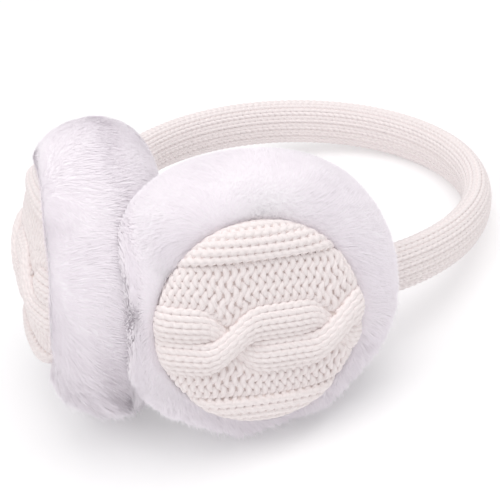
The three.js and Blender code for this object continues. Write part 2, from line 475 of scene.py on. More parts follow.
@dataclass(frozen=True)
class FeltFinish:
    """Dense matted cloth under the yarn or at the roots of the pile."""

    name: str
    light: tuple
    deep: tuple
    grain: float = 900
    grain_detail: float = 4
    bump_strength: float = 0.6
    bump_depth: float = 0.4
    roughness: float = 0.95

    def material(self) -> bpy.types.Material:
        """Write the material.

        Returns:
            The matted cloth material.
        """
        sheet = Sheet(self.name)
        grain = sheet.noise(self.grain, self.grain_detail)
        return sheet.surface(
            {
                "Base Color": sheet.mix(grain, self.deep, self.light),
                "Normal": sheet.bump(grain, self.bump_strength, self.bump_depth),
                "Roughness": self.roughness,
            }
        )


@dataclass(frozen=True)
class FloorFinish:
    """Plain pale studio floor with a faint glow of its own."""

    name: str = "studio_floor"
    color: tuple = (0.78, 0.78, 0.78, 1)
    roughness: float = 0.8
    glow: tuple = (1.0, 0.99, 1.0, 1)
    glow_strength: float = 0.25

    def material(self) -> bpy.types.Material:
        """Write the material.

        Returns:
            The floor material.
        """
        return Sheet(self.name).surface(
            {
                "Base Color": self.color,
                "Roughness": self.roughness,
                "Emission Color": self.glow,
                "Emission Strength": self.glow_strength,
            }
        )


# ---- where things lie ----


@dataclass(frozen=True)
class BandLine:
    """Centreline of the sprung headband, from its crown, turning less sharply towards the pads."""

    half_length: float = 176
    crown_radius: float = 68
    end_radius: float = 91
    pitch: float = 0.5

    def heading(self, along: Array) -> Array:
        """Give how far the line has turned, in radians, at distances from the crown.

        Args:
            along: Distances from the crown, without sign.

        Returns:
            The turn at each.
        """
        reach = np.minimum(along, self.half_length)
        change = (1 / self.end_radius - 1 / self.crown_radius) / (3 * self.half_length**2)
        return reach / self.crown_radius + change * reach**3

    def at(self, along: Array) -> tuple[Array, Array, Array]:
        """Read the line.

        Args:
            along: Signed distances from the crown, positive to the right.

        Returns:
            The points, the directions along and the directions out of the ring.
        """
        far = np.abs(along)
        side = np.where(along < 0, -1.0, 1.0)
        fine = np.arange(0, max(far.max(), self.half_length) + self.pitch, self.pitch)
        middle = self.heading(fine[:-1] + self.pitch / 2)
        run = np.concatenate([[0], np.cumsum(np.cos(middle)) * self.pitch])
        drop = np.concatenate([[0], np.cumsum(np.sin(middle)) * self.pitch])
        turned = self.heading(far)
        flat = np.zeros_like(far)
        points = np.stack([side * np.interp(far, fine, run), -np.interp(far, fine, drop), flat], axis=-1)
        ahead = np.stack([np.cos(turned), -side * np.sin(turned), flat], axis=-1)
        out = np.stack([side * np.sin(turned), np.cos(turned), flat], axis=-1)
        return points, ahead, out


@dataclass(frozen=True)
class Oval:
    """Oval section with its arc length worked out."""

    half_width: float
    half_thickness: float
    steps: int = 720

    def perimeter(self) -> float:
        """Give the distance round."""
        return float(self._run()[-1])

    def _run(self) -> Array:
        """Give the distance round up to each step.

        Returns:
            One distance for each step, from 0.
        """
        turn = np.linspace(0, TAU, self.steps + 1)
        x, y = self.half_width * np.cos(turn), self.half_thickness * np.sin(turn)
        return np.concatenate([[0], np.cumsum(np.hypot(np.diff(x), np.diff(y)))])

    def at(self, distance: Array) -> tuple[Array, Array, Array, Array]:
        """Read the section.

        Args:
            distance: How far round, in millimetres.

        Returns:
            Place across the width, place across the thickness, and the outward direction's two parts.
        """
        run = self._run()
        turn = np.interp(np.mod(distance, run[-1]), run, np.linspace(0, TAU, self.steps + 1))
        x, y = self.half_width * np.cos(turn), self.half_thickness * np.sin(turn)
        out = unit(np.stack([np.cos(turn) / self.half_width, np.sin(turn) / self.half_thickness], axis=-1))
        return x, y, out[..., 0], out[..., 1]


@dataclass(frozen=True)
class Lie:
    """How the ring lies on the table, level but for its tilt towards the crown and a slight roll."""

    line: BandLine
    width: float
    thickness: float
    tilt: float = math.radians(12.6)
    roll: float = math.radians(5.5)
    samples_along: int = 353
    samples_round: int = 73

    def turn(self) -> Array:
        """Give the turn from the headband's own frame to the table's."""
        return rotation("X", -self.tilt) @ rotation("Y", self.roll)

    def offset(self) -> Array:
        """Give the shift that brings the turned headband onto its CAD box.

        Returns:
            The shift, in millimetres along X, Y and Z.
        """
        along = np.linspace(-self.line.half_length, self.line.half_length, self.samples_along)
        points, _, out = self.line.at(along)
        oval = Oval(self.width / 2, self.thickness / 2)
        x, y, _, _ = oval.at(np.linspace(0, oval.perimeter(), self.samples_round))
        shell = points[:, None] + out[:, None] * y[None, :, None]
        shell = shell + UP * x[None, :, None]
        turned = (shell @ self.turn().T).reshape(-1, 3)
        low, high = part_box("headband")
        target = (np.array(low) + np.array(high)) / 2 / MM
        return target - (turned.min(axis=0) + turned.max(axis=0)) / 2

    def place(self, points: Array) -> Array:
        """Move points from the headband's own frame to the table's."""
        return points @ self.turn().T + self.offset()


class Side(Enum):
    """The two sides of the pair, as worn, and which way each mirrors the right one."""

    RIGHT = 1
    LEFT = -1

    @property
    def word(self) -> str:
        """Give the side's name in lower case."""
        return self.name.lower()

    @property
    def flip(self) -> Array:
        """Give the factors that mirror a point of the right half onto this side."""
        return np.array([self.value, 1, 1])


@dataclass(frozen=True)
class PadStand:
    """Where a pad sits on the end of the headband, and which way it faces."""

    lie: Lie
    side: Side
    reach_past_band: float = 27
    lift: float = 1.5
    face_up: float = math.radians(5.8)

    def frame(self) -> tuple[Array, Array]:
        """Give the right pad's axes, as columns, and its centre in the headband's frame.

        Returns:
            The axes and the centre.
        """
        end, ahead, _ = self.lie.line.at(np.array([self.lie.line.half_length]))
        axes = np.stack([-ahead[0], UP, np.cross(-ahead[0], UP)], axis=-1) @ rotation("X", -self.face_up)
        return axes, end[0] + ahead[0] * self.reach_past_band + axes[:, 1] * self.lift

    def to_ring(self, points: Array) -> Array:
        """Move points from the pad's frame to the right half of the ring's, unmirrored."""
        axes, centre = self.frame()
        return points @ axes.T + centre

    def from_ring_to_table(self, points: Array) -> Array:
        """Mirror points for the left side and lay them on the table."""
        return self.lie.place(points * self.side.flip)

    def directions(self, vectors: Array) -> Array:
        """Turn directions from the pad's frame to the table's."""
        axes, _ = self.frame()
        return (vectors @ axes.T * self.side.flip) @ self.lie.turn().T

    def mirrored(self) -> bool:
        """Say whether the side is the mirrored one."""
        return self.side is Side.LEFT


@dataclass(frozen=True)
class PadContact:
    """Where the pads press together: the right one's rim is flattened and the left one bulges past it."""

    flattened: float = 39.3
    gap: float = 0.15
    softness: float = 0.9
    shaded: float = 6
    middle_depth: float = 7.7
    outwards: float = 0.8

    def _planes(self, stand: PadStand) -> list[tuple[Array, float]]:
        """Give the planes that hold the right pad back, each as its direction and its place along it.

        Args:
            stand: The right pad's stand, or its mirrored twin's.

        Returns:
            The planes, in the ring's frame.
        """
        axes, centre = stand.frame()
        inwards = axes[:, 0]
        return [(inwards, inwards @ centre - self.flattened), (SIDEWAYS, 0.0)]

    def open_up(self, stand: PadStand, points: Array, out: Array) -> Array:
        """Turn the fibres beside the contact out of it, as those that cross it lie.

        Args:
            stand: The pad's stand.
            points: Points in the right half of the ring's frame.
            out: Outward directions there, in the same frame.

        Returns:
            The turned directions.
        """
        axes, centre = stand.frame()
        placed, facing = points * stand.side.flip, out * stand.side.flip
        middle = centre - axes[:, 0] * self.flattened + axes[:, 2] * self.middle_depth
        away = unit(placed - middle) * self.outwards
        for way, limit in self._planes(stand):
            near = 1 - smooth_step(np.abs(placed @ way - limit), 0, self.shaded)
            facing = facing + away * near[:, None]
            facing = facing - way * ((facing @ way) * near)[:, None]
        return unit(facing * stand.side.flip)

    def press(self, stand: PadStand, points: Array, short: Array) -> Array:
        """Press points of one pad back from the other.

        Args:
            stand: The pad's stand.
            points: Points in the right half of the ring's frame.
            short: How far short of the contact each one stays.

        Returns:
            The pressed points.
        """
        held = self.gap + short
        if stand.side is Side.RIGHT:
            for way, limit in self._planes(stand):
                room = points @ way - limit - held
                points = points + (soft_floor(room, 0, self.softness) - room)[:, None] * way
            return points
        axes, centre = stand.frame()
        inwards = axes[:, 0]
        other = points * stand.side.flip
        over_middle = other[:, 0] + held
        past_flattened = (other - centre) @ inwards + self.flattened + held
        depth = soft_floor(np.minimum(over_middle, past_flattened), 0, self.softness)
        way = np.where((over_middle < past_flattened)[:, None], SIDEWAYS, inwards)
        return (other - way * depth[:, None]) * stand.side.flip


@dataclass(frozen=True)
class BandEnd:
    """The end of the headband inside a pad, which the pile has to clear."""

    lie: Lie
    first: float = 120
    step: float = 3.0
    end: tuple = (-8, 1)
    end_samples: int = 10
    near: float = 45
    clearance: float = 0.2
    least_span: float = 0.05

    def clear(self, points: Array) -> tuple[Array, Array]:
        """Push points out of the headband's end.

        Args:
            points: Points in the right half of the ring's frame.

        Returns:
            The points, pushed out, and which of them had to be.
        """
        half = self.lie.line.half_length
        last = np.linspace(half + self.end[0], half + self.end[1], self.end_samples)
        samples = np.concatenate([np.arange(self.first, last[0], self.step), last])
        centres, _, radial = self.lie.line.at(samples)
        middle = centres[len(centres) - self.end_samples // 2 - 1]
        near = np.where(np.linalg.norm(points - middle, axis=1) < self.near)[0]
        picked = points[near]
        gaps = np.linalg.norm(picked[:, None] - centres[None], axis=2)
        pick = np.argmin(gaps, axis=1)
        offset = picked - centres[pick]
        side = np.einsum("ij,ij->i", offset, radial[pick])
        wide, thick = self.lie.width / 2 + self.clearance, self.lie.thickness / 2 + self.clearance
        span = np.hypot(offset[:, 2] / wide, side / thick)
        inside = (span < 1) & (pick < len(samples) - 1)
        grow = np.where(inside, 1 / np.maximum(span, self.least_span) - 1, 0)[:, None]
        across = np.column_stack([np.zeros((len(near), 2)), offset[:, 2]]) + radial[pick] * side[:, None]
        result, hit = points.copy(), np.zeros(len(points), bool)
        result[near] = picked + across * grow
        hit[near[inside]] = True
        return result, hit


# ---- yarn ----


@dataclass(frozen=True)
class Yarn:
    """Yarn and the loop that it makes in every stitch."""

    radius: float
    loop_height: float
    loop_depth: float
    lean: float
    steps_a_stitch: int
    sides: int

    def stitch(self, share: Array) -> tuple[Array, Array, Array]:
        """Give the loop's path through one knit stitch.

        Args:
            share: How far through the stitch, from 0 at its first sinker loop to 1 at the next.

        Returns:
            Place across as a share of the stitch's width, height along the wale and depth out of the cloth.
        """
        across = share + self.lean * np.sin(2 * TAU * share)
        along = -self.loop_height / 2 * np.cos(TAU * share)
        out = -self.loop_depth * np.cos(2 * TAU * share)
        return across, along, out

    def tube(self, mesher: Mesher, path: Array, out: Array, closed: bool, row: int, rows: int) -> None:
        """Sweep the yarn along a path.

        Args:
            mesher: The mesh that it joins.
            path: Points of the yarn's centre.
            out: The cloth's outward direction at each point.
            closed: True when the path joins its start.
            row: Which row of the baking layout it takes.
            rows: How many rows that layout has.
        """
        count, sides = len(path), self.sides
        if closed:
            path, out = np.vstack([path, path[:1]]), np.vstack([out, out[:1]])
            count += 1
            ahead = unit(np.roll(path[:-1], -1, axis=0) - np.roll(path[:-1], 1, axis=0))
            ahead = np.vstack([ahead, ahead[:1]])
        else:
            ahead = unit(np.gradient(path, axis=0))
        aside = unit(np.cross(ahead, out))
        lift = np.cross(aside, ahead)
        turn = np.arange(sides) / sides * TAU
        ring = np.cos(turn)[None, :, None] * aside[:, None] + np.sin(turn)[None, :, None] * lift[:, None]
        points = (path[:, None] + self.radius * ring).reshape(-1, 3)
        faces = skin_faces(count, sides)
        run = np.concatenate([[0], np.cumsum(np.linalg.norm(np.diff(path, axis=0), axis=1))])
        strip = grid_layout(count, sides, (0, row / rows), (1, (row + STRAND_FILL) / rows))
        yarn = grid_layout(count, sides, (0, 0), (1, 1))
        yarn[..., 0] = np.interp(yarn[..., 0] * (count - 1), np.arange(count), run)
        layouts = {BAKE_LAYOUT: [strip], YARN_LAYOUT: [yarn]}
        if closed:
            faces = faces[:1]
        else:
            for name, place in ((BAKE_LAYOUT, (0, (row + STRAND_END) / rows)), (YARN_LAYOUT, (0, 0))):
                layouts[name].append(np.tile(np.array(place, float), (2, sides, 1)))
        mesher.add(points, faces, layouts)


# ---- headband ----


@dataclass
class Headband:
    """Padded band with a plain-knit cover: wales run along it and every course goes round it."""

    lie: Lie
    yarn: Yarn = Yarn(radius=0.98, loop_height=4.4, loop_depth=0.42, lean=0.19, steps_a_stitch=12, sides=5)
    wales: int = 14
    course: float = 2.65
    core_inset: float = 0.1
    core_rows: int = 161
    core_columns: int = 28

    def middle_oval(self) -> Oval:
        """Give the oval that the yarn's centre swings about."""
        inset = self.yarn.radius + self.yarn.loop_depth
        return Oval(self.lie.width / 2 - inset, self.lie.thickness / 2 - inset)

    def _surface(self, along: Array, round_at: Array, out_by: Array) -> tuple[Array, Array]:
        """Read the band's surface.

        Args:
            along: Distance from the crown along the band.
            round_at: Distance round its section.
            out_by: Distance out of it.

        Returns:
            Points and outward directions, in the headband's frame.
        """
        points, _, radial = self.lie.line.at(along)
        x, y, out_x, out_y = self.middle_oval().at(round_at)
        out = out_x[:, None] * UP + out_y[:, None] * radial
        return points + x[:, None] * UP + y[:, None] * radial + out * out_by[:, None], out

    def build_cover(self, name: str, side: Side, material: bpy.types.Material) -> bpy.types.Object:
        """Knit the cover of one half, from the crown to the pad.

        Args:
            name: The piece's name.
            side: Which half.
            material: The yarn's material.

        Returns:
            The knitted half.
        """
        mesher = Mesher()
        perimeter = self.middle_oval().perimeter()
        wale = perimeter / self.wales
        steps = self.yarn.steps_a_stitch
        number = np.arange(self.wales * steps)
        across, along, out_by = self.yarn.stitch(number % steps / steps)
        courses = int(self.lie.line.half_length / self.course)
        first = 0 if side is Side.RIGHT else 1
        for row in range(first, courses):
            place = side.value * row * self.course + along
            points, out = self._surface(place, (number // steps + across) * wale, out_by)
            self.yarn.tube(mesher, points, out, True, row, courses)
        mesher.points = [self.lie.place(points) for points in mesher.points]
        return mesher.finish(name, material, mirrored=False)

    def build_core(self, name: str, material: bpy.types.Material) -> bpy.types.Object:
        """Build the padded core under the cover.

        Args:
            name: The piece's name.
            material: Its material.

        Returns:
            The core.
        """
        rows, columns = self.core_rows, self.core_columns
        half, perimeter = self.lie.line.half_length, self.middle_oval().perimeter()
        along = np.repeat(np.linspace(-half, half, rows), columns)
        round_at = np.tile(np.arange(columns) / columns * perimeter, rows)
        points, _ = self._surface(along, round_at, np.full(len(along), -self.core_inset))
        mesher = Mesher()
        mesher.add(self.lie.place(points), skin_faces(rows, columns), {})
        return mesher.finish(name, material, mirrored=False)


# ---- knit dome ----


class Stitch(Enum):
    """Which face of the loop shows: legs forward or heads forward."""

    KNIT = 1
    PURL = -1


@dataclass(frozen=True)
class CableRope:
    """Two ropes of three wales each that swap sides at every crossing."""

    middle: float = -3.5
    wander: float = 2.4
    wander_from: tuple = (8, 36)
    crossings: tuple = (-46.2, -11.2, 23.8)
    crossing_length: float = 11.0
    crossing_fade: float = 1.2
    rope_offset: float = 5.7
    rope_half_width: float = 5.7
    squeeze: float = 0.2
    waist: float = 4.9
    front_rise: float = 1.1
    back_drop: float = 2.4
    puff: float = 1.9

    def _past(self, along: Array, anchor: Array) -> Array:
        """Give how far each place is past the crossing nearest to its anchor, in crossing lengths.

        Args:
            along: Places along the cable.
            anchor: Places that pick the crossing.

        Returns:
            The distance past it, less than 0 before it.
        """
        crossings = np.array(self.crossings)
        pick = np.argmin(np.abs(anchor[..., None] - crossings), axis=-1)
        return (along - crossings[pick]) / self.crossing_length

    def nearness(self, along: Array, anchor: Array) -> Array:
        """Give 1 at a crossing and 0 away from it."""
        return 1 - smooth_step(np.abs(self._past(along, anchor)), 0, self.crossing_fade)

    def line(self, along: Array) -> Array:
        """Give the place across of the cable's middle, which wanders up towards one end."""
        return self.middle + self.wander * smooth_step(-along, *self.wander_from)

    def centre(self, along: Array, anchor: Array, front: bool) -> Array:
        """Give the place across of a rope's middle, which eases over to the other side at a crossing.

        Args:
            along: Places along the cable.
            anchor: Places that pick the crossing.
            front: True for the rope that passes in front at that crossing.

        Returns:
            The place across at each.
        """
        t = np.clip(self._past(along, anchor), -1, 1)
        swap = t * (15 - 10 * t**2 + 3 * t**4) / 8
        return self.line(along) + (1 if front else -1) * swap * self.rope_offset

    def half_width(self, along: Array, anchor: Array) -> Array:
        """Give half the width of one rope, drawn in at the crossings."""
        return self.rope_half_width * (1 - self.squeeze * self.nearness(along, anchor))

    def half_span(self, along: Array, anchor: Array) -> Array:
        """Give half the width of the two ropes together."""
        reach = np.abs(self.centre(along, anchor, True) - self.line(along))
        return np.maximum(reach + self.half_width(along, anchor), self.waist)

    def rise(self, along: Array, anchor: Array, share: Array, front: bool) -> Array:
        """Give a rope's height over the cloth.

        Args:
            along: Place along the cable.
            anchor: Place that picks the crossing.
            share: Place across the rope, from -1 to 1.
            front: True for the rope that passes in front at that crossing.

        Returns:
            The height.
        """
        lift = self.front_rise if front else -self.back_drop
        return self.puff * (1 - share**2) + lift * self.nearness(along, anchor)


@dataclass(frozen=True)
class DomeSection:
    """Section of the dome: a puffed crown that rounds over into a tucked side."""

    radius: float = 34.4
    shoulder: float = 26.2
    crown: float = 34.6
    foot_radius: float = 33.0
    foot: float = 17.0
    fullness: float = 2.35
    inset: float = 0.0
    crown_steps: int = 400
    side_steps: int = 60

    def table(self) -> tuple[Array, Array, Array]:
        """Give distance over the cloth, and the radius and height there.

        Returns:
            Three columns, from the crown to the foot.
        """
        turn = np.linspace(math.pi / 2, 0, self.crown_steps)
        power = 2 / self.fullness
        radius = (self.radius - self.inset) * np.cos(turn).clip(0) ** power
        height = self.shoulder + (self.crown - self.inset - self.shoulder) * np.sin(turn).clip(0) ** power
        side = np.linspace(0, 1, self.side_steps)[1:]
        tuck = self.radius - self.inset + (self.foot_radius - self.radius) * side**2
        radius = np.concatenate([radius, tuck])
        height = np.concatenate([height, self.shoulder + (self.foot - self.shoulder) * side])
        run = np.concatenate([[0], np.cumsum(np.hypot(np.diff(radius), np.diff(height)))])
        return run, radius, height

    def at(self, over: Array) -> tuple[Array, Array, Array, Array]:
        """Read the section.

        Args:
            over: Distance over the cloth from the crown.

        Returns:
            Radius, height and the outward direction's two parts.
        """
        run, radius, height = self.table()
        slope_r, slope_h = np.gradient(radius, run), np.gradient(height, run)
        read = [np.interp(over, run, column) for column in (radius, height, -slope_h, slope_r)]
        return read[0], read[1], read[2], read[3]


@dataclass(frozen=True)
class Stretch:
    """Neighbouring wales of one stitch between two edges that may wander along the cloth."""

    wales: int
    stitch: Stitch
    edges: Callable[[Array, Array], tuple[Array, Array]]
    rise: Callable[[Array, Array, Array], Array]
    fullness: float = 1.0
    relief: float = 1.0


@dataclass
class KnitDome:
    """Cable-knit cover of a pad over its filling. X runs along the wales, Y across them."""

    stand: PadStand
    rope: CableRope = CableRope()
    yarn: Yarn = Yarn(radius=1.0, loop_height=4.7, loop_depth=0.55, lean=0.165, steps_a_stitch=18, sides=6)
    course: float = 2.72
    upper_rib_edge: float = 23.4
    lower_rib_edge: float = -24.4
    rib_wale: float = 4.6
    rib_wales: int = 4
    rib_rise: float = 1.0
    rib_slope: tuple = (-1.15, -0.55)
    rib_fullness: float = 1.2
    rib_relief: float = 0.4
    upper_purl_wales: int = 3
    lower_purl_wales: int = 2
    purl_rise: float = -1.2
    purl_tuck: float = 0.5
    purl_fullness: float = 1.1
    rope_wales: int = 3
    rope_rise: float = -0.9
    rope_fullness: float = 1.2
    cloth_reach: float = 41.5
    relief_fade: tuple = (31.0, 38.0)
    end_fade: tuple = (-0.05, 0.24)
    end_sink: float = 0.7
    filling_rows: int = 40
    filling_columns: int = 96
    filling_from: float = 0.4
    filling_past_cloth: float = 2
    filling_rise: float = 0.2

    def _level(self, low: float, high: float, along: Array, anchor: Array) -> tuple[Array, Array]:
        """Give the edges of a straight stretch."""
        return np.full_like(along, low), np.full_like(along, high)

    def _below_rope(self, along: Array, anchor: Array) -> tuple[Array, Array]:
        """Give the edges of the purl stitches between the lower rib and the cable."""
        edge = self.rope.line(along) - self.rope.half_span(along, anchor) + self.purl_tuck
        return np.full_like(along, self.lower_rib_edge), edge

    def _above_rope(self, along: Array, anchor: Array) -> tuple[Array, Array]:
        """Give the edges of the purl stitches between the cable and the upper rib."""
        edge = self.rope.line(along) + self.rope.half_span(along, anchor) - self.purl_tuck
        return edge, np.full_like(along, self.upper_rib_edge)

    def _rope_edges(self, front: bool, along: Array, anchor: Array) -> tuple[Array, Array]:
        """Give the edges of one rope of the cable."""
        middle, half = self.rope.centre(along, anchor, front), self.rope.half_width(along, anchor)
        return middle - half, middle + half

    def _rib_swell(self, outward: int, along: Array, anchor: Array, share: Array) -> Array:
        """Give the height of a rib, which climbs out of the purl stitches at its inner edge."""
        return self.rib_rise * smooth_step(outward * share, *self.rib_slope)

    def _purl_swell(self, along: Array, anchor: Array, share: Array) -> Array:
        """Give the height of the sunken purl stitches."""
        return np.full_like(along, self.purl_rise)

    def _rope_swell(self, front: bool, along: Array, anchor: Array, share: Array) -> Array:
        """Give the height of one rope of the cable."""
        return self.rope_rise + self.rope.rise(along, anchor, share, front)

    def stretches(self) -> list[Stretch]:
        """Give every stretch of a course, from the lower edge up.

        Returns:
            A rib, purl stitches, the two ropes of the cable, purl stitches and the other rib.
        """
        low, high, rib = self.lower_rib_edge, self.upper_rib_edge, self.rib_wales * self.rib_wale
        knit = partial(Stretch, stitch=Stitch.KNIT)
        ribbed = partial(knit, wales=self.rib_wales, fullness=self.rib_fullness, relief=self.rib_relief)
        purled = partial(Stretch, stitch=Stitch.PURL, rise=self._purl_swell, fullness=self.purl_fullness)
        roped = partial(knit, wales=self.rope_wales, fullness=self.rope_fullness)
        ropes = [
            roped(edges=partial(self._rope_edges, front), rise=partial(self._rope_swell, front))
            for front in (False, True)
        ]
        return [
            ribbed(edges=partial(self._level, low - rib, low), rise=partial(self._rib_swell, -1)),
            purled(wales=self.lower_purl_wales, edges=self._below_rope),
            *ropes,
            purled(wales=self.upper_purl_wales, edges=self._above_rope),
            ribbed(edges=partial(self._level, high, high + rib), rise=partial(self._rib_swell, 1)),
        ]

    def _relief(self, along: Array, across: Array) -> Array:
        """Give the height of the filling's relief under the cloth.

        Args:
            along: Place along the wales.
            across: Place across them.

        Returns:
            The height at each place.
        """
        height = np.full_like(along, self.purl_rise)
        for stretch in self.stretches():
            low, high = stretch.edges(along, along)
            share = (2 * across - low - high) / (high - low)
            inside = np.abs(share) <= 1
            height = np.where(inside, np.maximum(height, stretch.rise(along, along, share)), height)
        return height

    def _onto_dome(self, along: Array, across: Array, rise: Array, out_by: Array) -> tuple[Array, Array]:
        """Lay flat cloth over the dome.

        Args:
            along: Place along the wales.
            across: Place across them.
            rise: Height of the relief, which dies away at the edge.
            out_by: Height over the cloth's middle, kept everywhere.

        Returns:
            Points and outward directions, in the pad's frame.
        """
        over = np.hypot(along, across)
        inset = self.yarn.radius + self.yarn.loop_depth
        radius, height, out_r, out_h = DomeSection(inset=inset).at(over)
        way = np.stack([along, across], axis=-1) / np.maximum(over, 1e-6)[:, None]
        points = np.column_stack([radius[:, None] * way, height])
        out = unit(np.column_stack([out_r[:, None] * way, out_h]))
        fade = 1 - smooth_step(over, *self.relief_fade)
        return points + out * (rise * fade + out_by)[:, None], out

    def _knit(self, mesher: Mesher, stretch: Stretch, course: float, row: int, rows: int) -> None:
        """Knit one stretch of one course.

        Args:
            mesher: The mesh that it joins.
            stretch: The stretch.
            course: Where the course lies along the wales.
            row: Which row of the baking layout it takes.
            rows: How many rows that layout has.
        """
        steps = self.yarn.steps_a_stitch
        number = np.arange(stretch.wales * steps + 1)
        place, along, out_by = self.yarn.stitch(number % steps / steps)
        place = (number // steps + place) / stretch.wales
        along = course + along
        anchor = np.full_like(along, course)
        low, high = stretch.edges(along, anchor)
        across = low + (high - low) * place
        keep = np.hypot(along, across) < self.cloth_reach
        if keep.sum() < steps // 2:
            return
        from_end = np.minimum(place, 1 - place) * stretch.wales
        shown = smooth_step(from_end, *self.end_fade)
        hidden = -self.yarn.loop_depth - self.end_sink * self.yarn.radius
        out_by = stretch.stitch.value * stretch.relief * out_by * shown + hidden * (1 - shown)
        rise = stretch.rise(along, anchor, 2 * place - 1)
        points, out = self._onto_dome(along, across, rise, out_by)
        yarn = replace(self.yarn, radius=self.yarn.radius * stretch.fullness)
        yarn.tube(mesher, points[keep], out[keep], False, row, rows)

    def _to_table(self, points: Array) -> Array:
        """Move points from the pad's frame to the table's."""
        return self.stand.from_ring_to_table(self.stand.to_ring(points))

    def build_cover(self, name: str, material: bpy.types.Material) -> bpy.types.Object:
        """Knit the whole cover.

        Args:
            name: The piece's name.
            material: The yarn's material.

        Returns:
            The knitted cover.
        """
        mesher = Mesher()
        courses = int(self.cloth_reach / self.course)
        stretches = self.stretches()
        rows = (2 * courses + 1) * len(stretches)
        for number in range(2 * courses + 1):
            for place, stretch in enumerate(stretches):
                course = (number - courses) * self.course
                self._knit(mesher, stretch, course, number * len(stretches) + place, rows)
        mesher.points = [self._to_table(points) for points in mesher.points]
        return mesher.finish(name, material, self.stand.mirrored())

    def build_filling(self, name: str, material: bpy.types.Material) -> bpy.types.Object:
        """Build the padded filling under the cover.

        Args:
            name: The piece's name.
            material: Its material.

        Returns:
            The filling.
        """
        rows, columns = self.filling_rows, self.filling_columns
        reach = self.cloth_reach + self.filling_past_cloth
        over = np.repeat(np.linspace(self.filling_from, reach, rows), columns)
        turn = np.tile(np.arange(columns) / columns * TAU, rows)
        along, across = over * np.cos(turn), over * np.sin(turn)
        relief = self._relief(along, across)
        points, _ = self._onto_dome(along, across, relief, np.full(len(over), self.filling_rise))
        mesher = Mesher()
        mesher.add(self._to_table(points), skin_faces(rows, columns, turned=True), {})
        return mesher.finish(name, material, self.stand.mirrored())


# ---- plush ----


@dataclass(frozen=True)
class PadSection:
    """Section of the plush from beside the dome, over the rolled rim, to the middle of the ear face."""

    radius: float = 50.4
    roll: float = 15
    ear_face: float = -10.8
    front_face: float = 26.2
    ear_hollow: float = 3
    dome_edge: float = 32.8
    dome_side: float = 2.2
    edge_steps: int = 40
    rim_steps: int = 400
    ear_steps: int = 200

    def table(self) -> tuple[Array, Array, Array]:
        """Give distance over the pile from the dome's side, and the radius and height there.

        Returns:
            Three columns, from the dome to the middle of the ear face.
        """
        middle, half = (self.front_face + self.ear_face) / 2, (self.front_face - self.ear_face) / 2
        turn = np.linspace(math.pi / 2, -math.pi / 2, self.rim_steps)
        centre = self.radius - self.roll
        share = np.linspace(0, 1, self.ear_steps)[1:]
        bend = np.linspace(0, math.pi / 2, self.edge_steps)[:-1]
        inner = centre - (centre - self.dome_edge) * np.cos(bend)
        beside = self.front_face - self.dome_side * (1 - np.sin(bend))
        radius = np.concatenate([inner, centre + self.roll * np.cos(turn), centre * (1 - share)])
        dished = self.ear_face + self.ear_hollow * share**2
        height = np.concatenate([beside, middle + half * np.sin(turn), dished])
        run = np.concatenate([[0], np.cumsum(np.hypot(np.diff(radius), np.diff(height)))])
        return run, radius, height


@dataclass(frozen=True)
class PileForm:
    """How the pile departs from its even section, at each eighth of a turn from the headband towards the top.

    Reach is the distance from the pad's centre, crest is how far the front stands proud beside the dome and
    tuck is how far the ear side is drawn in.
    """

    reach: tuple
    crest: tuple = (0.0,) * 8
    tuck: tuple = (0.0,) * 8

    def at(self, turn: Array) -> list[Array]:
        """Read the form.

        Args:
            turn: Angles round the pad, in radians.

        Returns:
            Reach, crest and tuck at those angles, eased from value to value.
        """
        place = np.mod(turn / TAU, 1) * len(self.reach)
        low = np.floor(place).astype(int) % len(self.reach)
        high = (low + 1) % len(self.reach)
        ease = smooth_step(place - np.floor(place), 0, 1)
        tables = [np.array(table) for table in (self.reach, self.crest, self.tuck)]
        return [table[low] + (table[high] - table[low]) * ease for table in tables]


PILE_FORMS = {
    Side.RIGHT: PileForm(
        reach=(52.2, 53.8, 51.6, 52.8, 49.9, 47.5, 45.0, 47.8),
        crest=(0.0, 0.0, 0.0, 0.0, 0.0, -1.2, -2.4, -1.2),
    ),
    Side.LEFT: PileForm(
        reach=(53.0, 51.2, 48.9, 48.4, 53.4, 55.2, 52.8, 51.4),
        crest=(0.0, -0.3, 6.0, 6.8, 6.0, 2.5, -3.0, -1.0),
        tuck=(0.0, 0.0, 0.6, 1.5, 0.0, 0.0, 0.0, 0.0),
    ),
}


class Pattern(Enum):
    """The patterns of chance that the pile follows, each with its seed."""

    COMB_WANDER = 5
    COMB_SWIRL = 6
    SWELLS = 8
    TUFTS = 9
    LOCK_GRIP = 21
    CONTACT = 31


def ripple(points: Array, length: float, pattern: Pattern, waves: int = 7) -> Array:
    """Give smooth chance heights over space, about -1 to 1.

    Args:
        points: Where to read them.
        length: Distance from crest to crest.
        pattern: Which pattern.
        waves: How many waves are summed.

    Returns:
        One height for each point.
    """
    chance = np.random.default_rng(pattern.value)
    ways = unit(chance.normal(size=(waves, 3))) * TAU / length * chance.uniform(*RIPPLE_SPREAD, (waves, 1))
    return np.sin(points @ ways.T + chance.uniform(0, TAU, waves)).sum(axis=1) / math.sqrt(waves)


@dataclass(frozen=True)
class Coat:
    """One coat of fibres: how many, how large, how deep they root, how proud they stand and how they vary."""

    count: int
    width: float
    length: float
    depth: float
    proud: float
    stray: float
    seed: int
    scatter: float = 0.3
    turn_scatter: float = 0.006
    length_spread: tuple = (0.8, 1.15)
    loose_growth: float = 0.4
    proud_spread: float = 0.35
    bend: float = 0.35
    taper: tuple = (1, 0.8)
    twist: float = 0.35
    ruffle: float = 0.25
    shade_ruffle: float = 0.04


